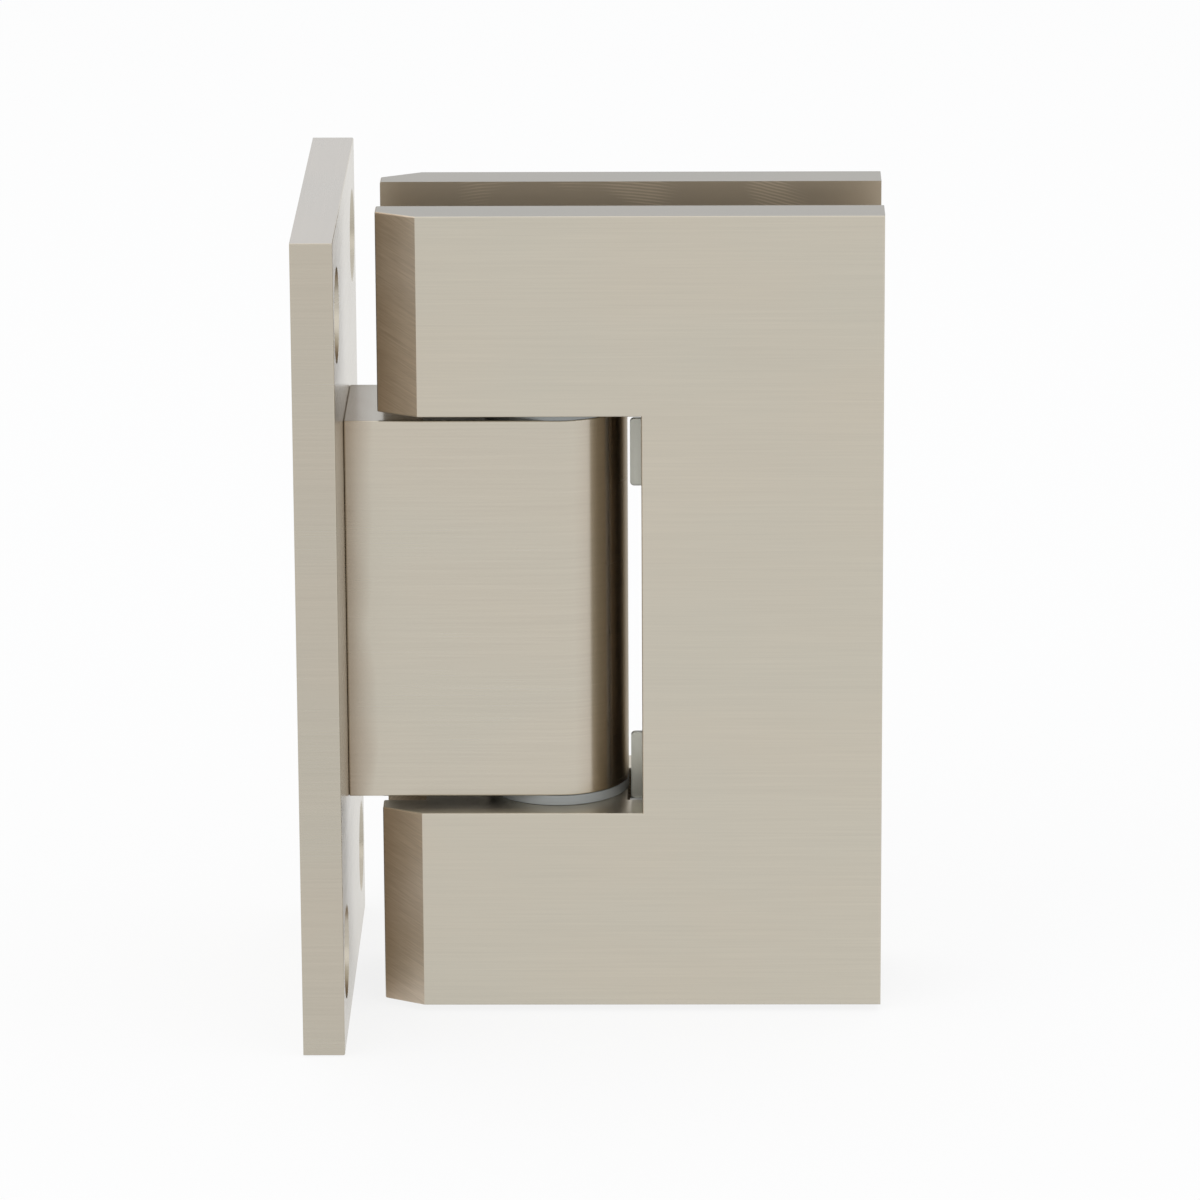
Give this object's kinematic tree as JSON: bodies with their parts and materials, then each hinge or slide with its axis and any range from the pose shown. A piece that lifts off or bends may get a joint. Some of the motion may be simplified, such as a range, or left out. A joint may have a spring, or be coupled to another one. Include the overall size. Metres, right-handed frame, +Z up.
{
  "type": "shower door hinge",
  "caption": "Wall-mounted pivot hinge for a frameless glass shower door: wall plate, round-ended pivot block and C-shaped glass clamp that swings both ways and centres itself.",
  "frame": {"origin": "centre of the wall plate's back face, which lies on the wall", "axes": "+X away from the wall along the closed door, +Y to the rear of the door, +Z up along the pin"},
  "size_m": [0.0626, 0.05, 0.09],
  "materials": {
    "brushed_nickel": "solid brass, nickel plated and brushed lengthways",
    "stainless_steel": "turned stainless steel",
    "acetal": "white acetal",
    "nylon": "pale grey nylon",
    "clear_vinyl": "cloudy clear vinyl sheet"
  },
  "bodies": {
    "wall_side": {"wall_plate": "brushed_nickel", "pivot_block": "brushed_nickel", "block_screws": "stainless_steel", "upper_bush": "acetal", "lower_bush": "acetal", "upper_thrust_washer": "nylon", "lower_thrust_washer": "nylon", "upper_detent_spring": "stainless_steel", "lower_detent_spring": "stainless_steel"},
    "upper_plunger": {"upper_detent_plunger": "stainless_steel"},
    "lower_plunger": {"lower_detent_plunger": "stainless_steel"},
    "door_side": {"pivot_pin": "stainless_steel", "front_clamp_plate": "brushed_nickel", "rear_clamp_plate": "brushed_nickel", "clamp_screws": "stainless_steel", "pin_set_screws": "stainless_steel", "front_gasket": "clear_vinyl", "rear_gasket": "clear_vinyl"}
  },
  "joints": [
    {"name": "door_swing", "type": "hinge", "parent": "wall_side", "child": "door_side", "pos_m": [0.02725, 0, 0], "axis": [0, 0, 1], "range_deg": [-90, 90]},
    {"name": "upper_plunger_travel", "type": "slide", "parent": "wall_side", "child": "upper_plunger", "axis": [-1, 0, 0], "range_m": [0, 0.0012], "stiffness_N_per_m": 5000, "springref_m": -0.002, "deforming": ["upper_detent_spring"]},
    {"name": "lower_plunger_travel", "type": "slide", "parent": "wall_side", "child": "lower_plunger", "axis": [-1, 0, 0], "range_m": [0, 0.0012], "stiffness_N_per_m": 5000, "springref_m": -0.002, "deforming": ["lower_detent_spring"]}
  ]
}
